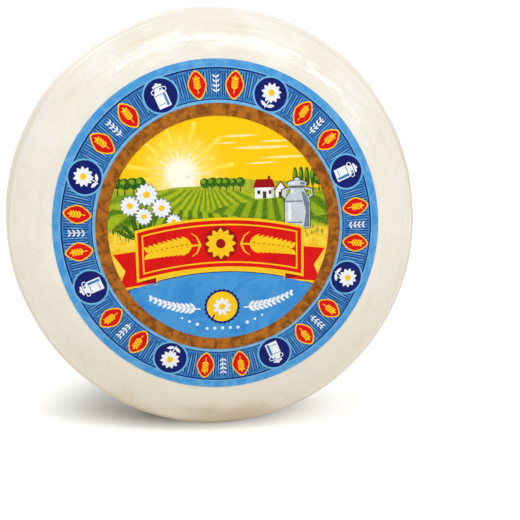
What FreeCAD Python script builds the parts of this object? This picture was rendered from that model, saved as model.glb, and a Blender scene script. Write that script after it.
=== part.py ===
"""A wheel of goat cheese standing on its edge, with a round paper label on its front face.

Frame: +Z is up, the wheel's axis runs along Y, and the labelled face looks towards -Y.
The origin is in the middle of the small flat spot that the wheel stands on.
Lengths are in millimetres.

The wheel is a revolved section: two gently crowned faces, a wide rounded shoulder inside
each rim, and a bulging side band. The band meets each shoulder in a faint corner, the line
where the lid of the mould closed on its wall. The foot is where the wheel has settled.
"""

import FreeCAD
import Part
import Sketcher

import math
import os

from FreeCAD import Vector

PARTS_FOLDER = "parts"

# Driving sizes, in millimetres.
SIZES = {
    "wheel_diameter": 256.0,
    "wheel_thickness": 99.5,     # between the middles of the two faces
    "face_crown": 8.8,           # how far a face rises from its edge to its middle
    "shoulder_width": 33.5,      # from the rim in to the edge of the face
    "shoulder_depth": 25.0,      # from the middle of the face down to the side band
    "band_bulge": 6.2,           # how far the side band swells between its two corners
    "foot_flat_depth": 2.0,      # how much of the rim the flat spot takes away
    "label_margin": 0.5,         # bare cheese between the label and the edge of the face
    "label_thickness": 0.25,
}

# Positions on a sketch's geometry, as Sketcher numbers them.
START, END, CENTRE = 1, 2, 3
ORIGIN, H_AXIS, V_AXIS = -1, -1, -2


def make_sheet(doc):
    """Puts the driving sizes in a spreadsheet, one named cell each, and returns it."""
    sheet = doc.addObject("Spreadsheet::Sheet", "Sizes")
    for row, (name, value) in enumerate(SIZES.items(), start=1):
        sheet.set(f"A{row}", name)
        sheet.set(f"B{row}", str(value))
        sheet.setAlias(f"B{row}", name)
    doc.recompute()
    return sheet


def make_body(doc, name):
    """Makes a body whose origin is the middle of the wheel, and stands it on its foot."""
    body = doc.addObject("PartDesign::Body", name)
    body.Label = name
    body.setExpression("Placement.Base.z", "Sizes.wheel_diameter / 2 - Sizes.foot_flat_depth")
    return body


def make_sketch(body, name, plane):
    """Makes a sketch on one of the body's own origin planes."""
    sketch = body.newObject("Sketcher::SketchObject", name)
    support = next(f for f in body.Origin.OriginFeatures if f.Role == plane)
    sketch.AttachmentSupport = [(support, "")]
    sketch.MapMode = "FlatFace"
    return sketch


def dimension(sketch, name, value, expression, *constraint):
    """Adds a named constraint that starts at a value and is then driven from the sheet."""
    index = sketch.addConstraint(Sketcher.Constraint(*constraint, value))
    sketch.renameConstraint(index, name)
    sketch.setExpression(f"Constraints.{name}", expression)


def constrain(sketch, *constraints):
    """Adds constraints that have no size."""
    for constraint in constraints:
        sketch.addConstraint(Sketcher.Constraint(*constraint))


def add_arc(sketch, first, middle, last):
    """Draws an arc anticlockwise through three points and returns its number."""
    centre = Part.Circle(first, middle, last).Center
    start, end = ((p - centre) for p in (first, last))
    circle = Part.Circle(centre, Vector(0, 0, 1), start.Length)
    angles = [math.atan2(arm.y, arm.x) for arm in (start, end)]
    return sketch.addGeometry(Part.ArcOfCircle(circle, *angles), False)


def add_line(sketch, first, last):
    """Draws a line between two points and returns its number."""
    return sketch.addGeometry(Part.LineSegment(first, last), False)


def add_guide_point(sketch, place):
    """Draws a construction point and returns its number."""
    return sketch.addGeometry(Part.Point(place), True)


def revolve(body, name, sketch):
    """Turns a section once round the wheel's axis."""
    turn = body.newObject("PartDesign::Revolution", name)
    turn.Profile = sketch
    turn.ReferenceAxis = (sketch, ["V_Axis"])
    turn.Angle = 360.0
    sketch.Visibility = False
    return turn


def draw_wheel_section(body):
    """Draws the wheel's half section: x is the radius, and y runs along the axis from the front.

    Each shoulder is the one arc that leaves its face without a corner and ends at the corner
    of the side band, so the sketch's own solver finds its radius and its middle.
    """
    radius = SIZES["wheel_diameter"] / 2
    front = -SIZES["wheel_thickness"] / 2
    face_reach = radius - SIZES["shoulder_width"]
    face_edge = front + SIZES["face_crown"]
    band_reach = radius - SIZES["band_bulge"]
    band_edge = front + SIZES["shoulder_depth"]

    def section_point(reach, along):
        return Vector(reach, along, 0)

    # A first guess of each arc's middle is enough: the constraints below settle the arcs.
    face_middle = (face_reach / 2, front + SIZES["face_crown"] / 4)
    shoulder_middle = ((face_reach + band_reach) / 2 + SIZES["band_bulge"] / 2,
                       (face_edge + band_edge) / 2 - SIZES["band_bulge"] / 2)
    outline = [(0, front), face_middle, (face_reach, face_edge), shoulder_middle,
               (band_reach, band_edge), (radius, 0)]
    outline += [(reach, -along) for reach, along in reversed(outline[:-1])]
    points = [section_point(*place) for place in outline]

    sketch = make_sketch(body, "WheelSection", "XY_Plane")
    face, shoulder, band, back_shoulder, back_face = [
        add_arc(sketch, *points[i:i + 3]) for i in range(0, len(points) - 2, 2)]
    axis = add_line(sketch, points[-1], points[0])
    rim = add_guide_point(sketch, section_point(radius, 0))

    constrain(
        sketch,
        ("Tangent", face, END, shoulder, START),
        ("Coincident", shoulder, END, band, START),
        ("Coincident", band, END, back_shoulder, START),
        ("Tangent", back_shoulder, END, back_face, START),
        ("Coincident", back_face, END, axis, START),
        ("Coincident", axis, END, face, START),
        ("PointOnObject", face, START, V_AXIS),
        ("PointOnObject", back_face, END, V_AXIS),
        ("PointOnObject", face, CENTRE, V_AXIS),
        ("PointOnObject", back_face, CENTRE, V_AXIS),
        ("Equal", face, back_face),
        ("Symmetric", face, END, back_face, START, H_AXIS),
        ("Vertical", band, START, band, END),
        ("PointOnObject", band, CENTRE, H_AXIS),
        ("PointOnObject", rim, START, H_AXIS),
        ("PointOnObject", rim, START, band),
    )
    dimension(sketch, "thickness", -2 * front, "Sizes.wheel_thickness",
              "DistanceY", face, START, back_face, END)
    dimension(sketch, "face_reach", face_reach, "Sizes.wheel_diameter / 2 - Sizes.shoulder_width",
              "DistanceX", ORIGIN, START, face, END)
    dimension(sketch, "face_crown", face_edge - front, "Sizes.face_crown",
              "DistanceY", face, START, face, END)
    dimension(sketch, "shoulder_depth", band_edge - front, "Sizes.shoulder_depth",
              "DistanceY", face, START, shoulder, END)
    dimension(sketch, "band_reach", band_reach, "Sizes.wheel_diameter / 2 - Sizes.band_bulge",
              "DistanceX", ORIGIN, START, band, START)
    dimension(sketch, "rim_reach", radius, "Sizes.wheel_diameter / 2",
              "DistanceX", ORIGIN, START, rim, START)
    return sketch


def draw_foot_block(body):
    """Draws the block, seen along the axis, that the foot's flat spot takes off the rim."""
    radius = SIZES["wheel_diameter"] / 2
    foot = -(radius - SIZES["foot_flat_depth"])
    corners = [Vector(x, z, 0) for x, z in ((-radius, -radius), (radius, -radius),
                                            (radius, foot), (-radius, foot))]
    sketch = make_sketch(body, "FootBlock", "XZ_Plane")
    low, right, top, left = [
        add_line(sketch, a, b) for a, b in zip(corners, corners[1:] + corners[:1])]
    constrain(
        sketch,
        *[("Coincident", a, END, b, START)
          for a, b in ((low, right), (right, top), (top, left), (left, low))],
        ("Horizontal", top), ("Vertical", right), ("Vertical", left),
        ("Symmetric", low, START, low, END, V_AXIS),
    )
    dimension(sketch, "foot_height", -foot, "Sizes.wheel_diameter / 2 - Sizes.foot_flat_depth",
              "DistanceY", top, START, ORIGIN, START)
    dimension(sketch, "block_depth", radius, "Sizes.wheel_diameter / 2",
              "DistanceY", low, START, ORIGIN, START)
    dimension(sketch, "block_width", 2 * radius, "Sizes.wheel_diameter",
              "DistanceX", low, START, low, END)
    return sketch


def build_cheese(doc):
    """The wheel itself: a revolved section with a flat spot at its foot."""
    body = make_body(doc, "cheese")
    revolve(body, "Wheel", draw_wheel_section(body))
    doc.recompute()
    whole = body.Shape.Volume

    block = draw_foot_block(body)
    foot = body.newObject("PartDesign::Pocket", "FootFlat")
    foot.Profile = block
    foot.Type = "ThroughAll"
    foot.SideType = "Symmetric"
    doc.recompute()
    if body.Shape.Volume >= whole:
        raise RuntimeError("the foot's flat spot takes nothing off the rim")
    return body


def draw_label_section(body):
    """Draws the label's half section: a strip of paper that lies on the crown of the face.

    Its inner arc is the face's own arc. A guide point at the edge of the face fixes it, and
    the paper stops short of that point by the margin.
    """
    front = -SIZES["wheel_thickness"] / 2
    face_reach = SIZES["wheel_diameter"] / 2 - SIZES["shoulder_width"]
    face_edge = front + SIZES["face_crown"]
    reach = face_reach - SIZES["label_margin"]
    paper = Vector(0, -SIZES["label_thickness"], 0)
    edge = Vector(face_reach, face_edge, 0)
    inner = [Vector(0, front, 0),
             Vector(reach / 2, front + SIZES["face_crown"] / 4, 0),
             Vector(reach, face_edge, 0)]
    outer = [point + paper for point in inner]

    sketch = make_sketch(body, "LabelSection", "XY_Plane")
    back = add_arc(sketch, *inner)
    face = add_arc(sketch, *outer)
    rim = add_line(sketch, outer[-1], inner[-1])
    axis = add_line(sketch, inner[0], outer[0])
    face_corner = add_guide_point(sketch, edge)

    constrain(
        sketch,
        ("Coincident", face, END, rim, START),
        ("Coincident", rim, END, back, END),
        ("Coincident", back, START, axis, START),
        ("Coincident", axis, END, face, START),
        ("PointOnObject", back, START, V_AXIS),
        ("PointOnObject", face, START, V_AXIS),
        ("PointOnObject", back, CENTRE, V_AXIS),
        ("Coincident", back, CENTRE, face, CENTRE),
        ("Vertical", rim),
        ("PointOnObject", face_corner, START, back),
    )
    dimension(sketch, "face_middle", -front, "Sizes.wheel_thickness / 2",
              "DistanceY", back, START, ORIGIN, START)
    dimension(sketch, "paper", -paper.y, "Sizes.label_thickness",
              "DistanceY", face, START, back, START)
    dimension(sketch, "face_reach", face_reach, "Sizes.wheel_diameter / 2 - Sizes.shoulder_width",
              "DistanceX", ORIGIN, START, face_corner, START)
    dimension(sketch, "face_crown", face_edge - front, "Sizes.face_crown",
              "DistanceY", back, START, face_corner, START)
    dimension(sketch, "label_reach", reach,
              "Sizes.wheel_diameter / 2 - Sizes.shoulder_width - Sizes.label_margin",
              "DistanceX", ORIGIN, START, back, END)
    return sketch


def build_label(doc):
    """The paper label, face to face with the crown that it is stuck on."""
    body = make_body(doc, "label")
    revolve(body, "Paper", draw_label_section(body))
    return body


def check(doc, bodies):
    """Stops if an object failed to rebuild, a sketch is loose or a body has no sound shape."""
    for item in doc.Objects:
        if {"Invalid", "Error"} & set(item.State):
            raise RuntimeError(f"{item.Name} failed to rebuild: {item.State}")
        if item.isDerivedFrom("Sketcher::SketchObject") and not item.FullyConstrained:
            raise RuntimeError(f"{item.Name} is not fully constrained")
    for body in bodies:
        if body.Shape.isNull() or not body.Shape.isValid():
            raise RuntimeError(f"{body.Label} has no valid shape")


def main():
    """Builds the wheel and its label, checks them and writes one STEP file for each."""
    doc = FreeCAD.newDocument("GoatCheeseWheel")
    make_sheet(doc)
    bodies = [build_cheese(doc), build_label(doc)]
    doc.recompute()
    check(doc, bodies)
    os.makedirs(PARTS_FOLDER, exist_ok=True)
    for body in bodies:
        body.Shape.exportStep(os.path.join(PARTS_FOLDER, f"{body.Label}.step"))
        box = body.Shape.optimalBoundingBox()
        print(f"{body.Label}: {body.Shape.Volume / 1e6:.4f} litres, "
              f"{box.XLength:.2f} x {box.YLength:.2f} x {box.ZLength:.2f} mm, "
              f"from z {box.ZMin:.3f}")


main()
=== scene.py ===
"""A wheel of goat cheese standing on its edge, with a printed round paper label on its front.

Lengths are in metres in the frame's own axes: +Z is up, the wheel's axis runs along Y and the
label looks towards -Y. The label's drawing is laid out in millimetres, as (right, up) pairs
from the middle of the label, and is then laid on the crown of the cheese.
"""

import logging
import math
import random
from dataclasses import dataclass, field
from enum import Enum
from typing import Callable, Iterable, Mapping, Sequence

import bmesh
import bpy
from mathutils import Euler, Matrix, Quaternion, Vector, noise


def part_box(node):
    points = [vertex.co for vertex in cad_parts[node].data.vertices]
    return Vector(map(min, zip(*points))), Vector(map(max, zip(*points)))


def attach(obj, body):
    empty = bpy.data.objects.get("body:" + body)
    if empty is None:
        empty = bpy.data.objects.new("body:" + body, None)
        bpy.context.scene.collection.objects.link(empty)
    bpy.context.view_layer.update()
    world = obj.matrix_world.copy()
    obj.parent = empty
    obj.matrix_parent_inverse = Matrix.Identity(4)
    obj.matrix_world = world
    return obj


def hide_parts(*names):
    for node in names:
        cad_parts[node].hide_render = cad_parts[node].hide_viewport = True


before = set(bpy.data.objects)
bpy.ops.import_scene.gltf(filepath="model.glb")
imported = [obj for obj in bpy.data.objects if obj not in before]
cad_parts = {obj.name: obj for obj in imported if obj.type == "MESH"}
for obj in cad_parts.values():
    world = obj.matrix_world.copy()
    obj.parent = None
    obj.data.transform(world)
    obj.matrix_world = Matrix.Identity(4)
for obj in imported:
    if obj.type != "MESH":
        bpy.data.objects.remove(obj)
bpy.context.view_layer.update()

LOG = logging.getLogger("cheese_wheel")
MM = 0.001
BODY = "root"
VARNISH = 0.42               # roughness of the label's varnish
VARNISH_SHINE = 0.14         # and how strongly it reflects
WHITE_LIGHT = (1.0, 1.0, 1.0, 1.0)

Place = tuple[float, float]            # right and up
Span = tuple[float, float]             # the two ends of a range
Triple = tuple[float, float, float]
Tone = tuple[int, int, int]            # red, green and blue, from 0 to 255
Colour = tuple[float, float, float, float]
Outline = list[Place]


# --------------------------------------------------------------------------------------
# Small helpers
# --------------------------------------------------------------------------------------

def linear(tone: Tone) -> Colour:
    """Turns a screen colour into a linear one.

    Args:
        tone: The screen colour.

    Returns:
        Red, green, blue and a full alpha, from 0 to 1.
    """
    def channel(value: int) -> float:
        """Turns one screen value into a linear one."""
        share = value / 255
        return share / 12.92 if share <= 0.04045 else ((share + 0.055) / 1.055) ** 2.4

    red, green, blue = (channel(value) for value in tone)
    return red, green, blue, 1.0


def ease(low: float, high: float, value: float) -> float:
    """Rises smoothly from 0 at low to 1 at high."""
    share = min(max((value - low) / (high - low), 0.0), 1.0)
    return share * share * (3 - 2 * share)


def start_clean() -> None:
    """Leaves edit mode and deselects everything, so that an operator acts on new work only."""
    if bpy.context.object and bpy.context.object.mode != "OBJECT":
        bpy.ops.object.mode_set(mode="OBJECT")
    bpy.ops.object.select_all(action="DESELECT")


def join_frame(piece: bpy.types.Object, slot: str, *replaced: str) -> None:
    """Fixes a finished piece to the frame.

    Args:
        piece: The finished object, with its place in its mesh.
        slot: The record's material slot that the piece would take its finish from. It is not
            used.
        replaced: The CAD nodes that the piece stands for.
    """
    if replaced:
        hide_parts(*replaced)
    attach(piece, BODY)
    LOG.info("%s: %d faces", piece.name, len(piece.data.polygons))


class Graph:
    """A node tree that is being wired, in a material or in a group."""

    def __init__(self, tree: bpy.types.NodeTree) -> None:
        """Keeps the tree to wire."""
        self.tree = tree

    def feed(self, socket: bpy.types.NodeSocket, value: object) -> None:
        """Feeds an input.

        Args:
            socket: The input.
            value: The output that is linked to it, or the plain value that it is set to.
        """
        if isinstance(value, bpy.types.NodeSocket):
            self.tree.links.new(value, socket)
        else:
            socket.default_value = value

    def add(self, kind: str, inputs: Mapping[str | int, object] | None = None,
            **settings: object) -> bpy.types.Node:
        """Adds one node.

        Args:
            kind: The node's type, such as ShaderNodeMath.
            inputs: Values or sockets for the node's inputs, by name or number.
            settings: The node's own settings.

        Returns:
            The new node.
        """
        node = self.tree.nodes.new(kind)
        for name, value in settings.items():
            setattr(node, name, value)
        for key, value in (inputs or {}).items():
            self.feed(node.inputs[key], value)
        return node

    def sum(self, operation: str, *values: object) -> bpy.types.NodeSocket:
        """Adds a Math node on the given values and returns its output."""
        return self.add("ShaderNodeMath", dict(enumerate(values)),
                        operation=operation).outputs[0]

    def split(self, vector: bpy.types.NodeSocket) -> Sequence[bpy.types.NodeSocket]:
        """Splits a vector and returns its X, Y and Z."""
        return self.add("ShaderNodeSeparateXYZ", {0: vector}).outputs

    def blend(self, share: object, low: object, high: object) -> bpy.types.NodeSocket:
        """Mixes two colours, on the Mix node's colour sockets, and returns the mixed one."""
        return self.add("ShaderNodeMix", {0: share, 6: low, 7: high},
                        data_type="RGBA").outputs[2]

    def step(self, value: object, low: float, high: float,
             out: Span = (0.0, 1.0)) -> bpy.types.NodeSocket:
        """Maps a value smoothly onto a new range.

        Args:
            value: The value.
            low: Where the change begins.
            high: Where it ends. It may be lower than low.
            out: What comes out at low and at high.

        Returns:
            The mapped value.
        """
        return self.add("ShaderNodeMapRange",
                        {0: value, 1: low, 2: high, 3: out[0], 4: out[1]},
                        interpolation_type="SMOOTHSTEP").outputs[0]

    def grain(self, vector: object, scale: object, detail: float = 3.0,
              roughness: float = 0.55, **more: object) -> bpy.types.NodeSocket:
        """Adds a noise texture and returns its value.

        Args:
            vector: Where the noise is read.
            scale: How many features there are in a metre.
            detail: How many finer layers the noise has.
            roughness: How strong the finer layers are.
            more: Other inputs, by name. An input W makes the noise four-dimensional.

        Returns:
            The noise, about 0 to 1.
        """
        return self.add("ShaderNodeTexNoise",
                        {"Vector": vector, "Scale": scale, "Detail": detail,
                         "Roughness": roughness, **more},
                        noise_dimensions="4D" if "W" in more else "3D").outputs[0]

    def seen(self) -> bpy.types.NodeSocket:
        """Tells the rays that show a surface from those that only carry its light.

        Returns:
            1 for a ray from the camera, straight or by way of gloss or glass, and else 0.
        """
        ray = self.add("ShaderNodeLightPath").outputs
        mirrored = self.sum("ADD", ray["Is Glossy Ray"], ray["Is Transmission Ray"])
        return self.sum("MINIMUM", 1.0, self.sum("ADD", ray["Is Camera Ray"], mirrored))


class GroupGraph(Graph):
    """A shader node group with named inputs and outputs."""

    def __init__(self, name: str, inputs: Mapping[str, object],
                 outputs: Mapping[str, str]) -> None:
        """Makes the group's sockets.

        Args:
            name: The group's name.
            inputs: Each input's starting value, by name. A 4-tuple is a colour, a 3-tuple a
                vector and a number a value.
            outputs: Each output's socket type, by name.
        """
        super().__init__(bpy.data.node_groups.new(name, "ShaderNodeTree"))
        kinds = {4: "NodeSocketColor", 3: "NodeSocketVector"}
        for label, value in inputs.items():
            size = len(value) if isinstance(value, tuple) else 1
            socket = self.tree.interface.new_socket(
                name=label, in_out="INPUT", socket_type=kinds.get(size, "NodeSocketFloat"))
            socket.default_value = value
        for label, kind in outputs.items():
            self.tree.interface.new_socket(name=label, in_out="OUTPUT", socket_type=kind)
        self.given = self.tree.nodes.new("NodeGroupInput").outputs
        self.result = self.tree.nodes.new("NodeGroupOutput").inputs

    def give(self, **values: bpy.types.NodeSocket) -> bpy.types.NodeTree:
        """Wires the group's outputs.

        Args:
            values: What each output gives, by name.

        Returns:
            The finished group.
        """
        for name, value in values.items():
            self.feed(self.result[name], value)
        return self.tree


class Paint(Graph):
    """A material that is being mixed around its own Principled shader."""

    def __init__(self, name: str) -> None:
        """Makes the material.

        Args:
            name: The material's name.
        """
        self.material = bpy.data.materials.new(name)
        self.material.use_nodes = True
        super().__init__(self.material.node_tree)
        self.shader = next(n for n in self.tree.nodes if n.type == "BSDF_PRINCIPLED")
        self.place = self.add("ShaderNodeTexCoord").outputs["Object"]

    def centred(self, middle: Vector) -> bpy.types.NodeSocket:
        """Returns the object's coordinates, counted from a point."""
        return self.add("ShaderNodeMapping",
                        {"Vector": self.place, "Location": -middle}).outputs[0]

    def use(self, group: bpy.types.NodeTree, **inputs: object) -> bpy.types.Node:
        """Places a node group in the material, feeds its inputs, by name, and returns it."""
        return self.add("ShaderNodeGroup", inputs, node_tree=group)

    def set(self, **values: object) -> None:
        """Feeds the shader's own sockets, by name, with _ for a space."""
        for name, value in values.items():
            self.feed(self.shader.inputs[name.replace("_", " ")], value)

    def relief(self, height: bpy.types.NodeSocket, depth: float,
               strength: float = 1.0) -> None:
        """Bumps the surface.

        Args:
            height: The height at each point, from 0 to 1.
            depth: How far apart 0 and 1 are, in metres.
            strength: How much of the bump shows.
        """
        bump = self.add("ShaderNodeBump", {"Height": height, "Distance": depth,
                                           "Strength": strength})
        self.set(Normal=bump.outputs[0])


# --------------------------------------------------------------------------------------
# Shared effects
# --------------------------------------------------------------------------------------

def make_mottling() -> bpy.types.NodeTree:
    """Builds the group that breaks a colour up into soft blotches and a fine grain.

    Returns:
        The group, with Blotches and Grain as how many fit a metre.
    """
    graph = GroupGraph(
        "Mottling",
        {"Vector": (0.0, 0.0, 0.0), "Colour": (0.8, 0.8, 0.8, 1.0),
         "Second": (0.5, 0.5, 0.5, 1.0), "Blotches": 80.0, "Grain": 1500.0,
         "Amount": 0.5},
        {"Colour": "NodeSocketColor"})
    given = graph.given
    blotch = graph.grain(given["Vector"], given["Blotches"], detail=4.0, roughness=0.6,
                         Distortion=0.6)
    speck = graph.grain(given["Vector"], given["Grain"], detail=2.0, roughness=0.7)
    both = graph.sum("ADD", graph.sum("MULTIPLY", blotch, 0.8),
                     graph.sum("MULTIPLY", speck, 0.2))
    share = graph.sum("MULTIPLY", graph.step(both, 0.40, 0.62), given["Amount"])
    return graph.give(Colour=graph.blend(share, given["Colour"], given["Second"]))


def make_paper_relief() -> bpy.types.NodeTree:
    """Builds the group for pasted paper: faint cockles, fibres and an uneven varnish.

    Returns:
        The group, with Gloss as the varnish's mean roughness.
    """
    graph = GroupGraph("PaperRelief", {"Vector": (0.0, 0.0, 0.0), "Gloss": VARNISH},
                       {"Height": "NodeSocketFloat", "Roughness": "NodeSocketFloat"})
    given = graph.given
    cockle = graph.grain(given["Vector"], 55.0, detail=2.0, roughness=0.5)
    fibre = graph.grain(given["Vector"], 1400.0, detail=3.0, roughness=0.6)
    height = graph.sum("ADD", graph.sum("MULTIPLY", cockle, 0.85),
                       graph.sum("MULTIPLY", fibre, 0.15))
    sheen = graph.step(graph.grain(given["Vector"], 90.0, detail=3.0, roughness=0.6),
                       0.35, 0.65, (-0.07, 0.07))
    return graph.give(Height=height, Roughness=graph.sum("ADD", given["Gloss"], sheen))


def make_round_grain() -> bpy.types.NodeTree:
    """Builds the group for grain that runs round the wheel, with no seam.

    The noise is read on a circle of the chosen size instead of at the angle itself, so it
    closes on itself.

    Returns:
        The group. Long sets how long the grain is: 1 gives about six features in a full
        turn. Fine sets how many fit a metre across them, and Shift picks other ones.
    """
    graph = GroupGraph("RoundGrain",
                       {"Vector": (0.0, 0.0, 0.0), "Long": 3.0, "Fine": 200.0, "Shift": 0.0},
                       {"Value": "NodeSocketFloat"})
    given = graph.given
    x, y, z = graph.split(given["Vector"])
    reach = graph.sum("SQRT", graph.sum("ADD", graph.sum("MULTIPLY", x, x),
                                        graph.sum("MULTIPLY", z, z)))
    safe = graph.sum("MAXIMUM", reach, 0.1 * MM)
    right, up = (graph.sum("MULTIPLY", graph.sum("DIVIDE", part, safe), given["Long"])
                 for part in (x, z))
    across = graph.sum("MULTIPLY", reach, given["Fine"])
    along = graph.sum("ADD", graph.sum("MULTIPLY", y, given["Fine"]), given["Shift"])
    spot = graph.add("ShaderNodeCombineXYZ", {0: right, 1: across, 2: up}).outputs[0]
    return graph.give(Value=graph.grain(spot, 1.0, detail=3.0, roughness=0.55, W=along))


def make_crop_rows() -> bpy.types.NodeTree:
    """Builds the group for the rows of a field, which run together at a far point.

    Returns:
        The group. Vector is counted from the far point, and Rows sets how many rows fan out.
    """
    graph = GroupGraph("CropRows",
                       {"Vector": (0.0, 0.0, 0.0), "Rows": 40.0, "Light": (0.3, 0.4, 0.0, 1.0),
                        "Dark": (0.1, 0.2, 0.0, 1.0)},
                       {"Colour": "NodeSocketColor"})
    given = graph.given
    x, _, z = graph.split(given["Vector"])
    wobble = graph.sum("MULTIPLY", graph.grain(given["Vector"], 120.0), 0.05)
    angle = graph.sum("ADD", graph.sum("ARCTAN2", x, z), wobble)
    wave = graph.sum("SINE", graph.sum("MULTIPLY", angle, given["Rows"]))
    blades = graph.grain(given["Vector"], 900.0, roughness=0.7)
    share = graph.sum("ADD", graph.step(wave, -0.5, 0.6, (0.0, 0.75)),
                      graph.step(blades, 0.35, 0.7, (-0.1, 0.35)))
    return graph.give(Colour=graph.blend(graph.sum("MAXIMUM", share, 0.0),
                                         given["Light"], given["Dark"]))


@dataclass
class Effects:
    """The node groups that several materials share, each built once."""

    mottling: bpy.types.NodeTree = field(default_factory=make_mottling)
    paper: bpy.types.NodeTree = field(default_factory=make_paper_relief)
    round_grain: bpy.types.NodeTree = field(default_factory=make_round_grain)
    crop_rows: bpy.types.NodeTree = field(default_factory=make_crop_rows)


# --------------------------------------------------------------------------------------
# Finishes
# --------------------------------------------------------------------------------------

@dataclass(frozen=True)
class Streaks:
    """Grain that runs round the wheel, as the RoundGrain group takes it."""

    long: float
    fine: float
    shift: float

    def read(self, paint: Paint, effects: Effects,
             place: bpy.types.NodeSocket) -> bpy.types.NodeSocket:
        """Places the group in a material and returns its grain."""
        return paint.use(effects.round_grain, Vector=place, Long=self.long, Fine=self.fine,
                         Shift=self.shift).outputs[0]


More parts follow.
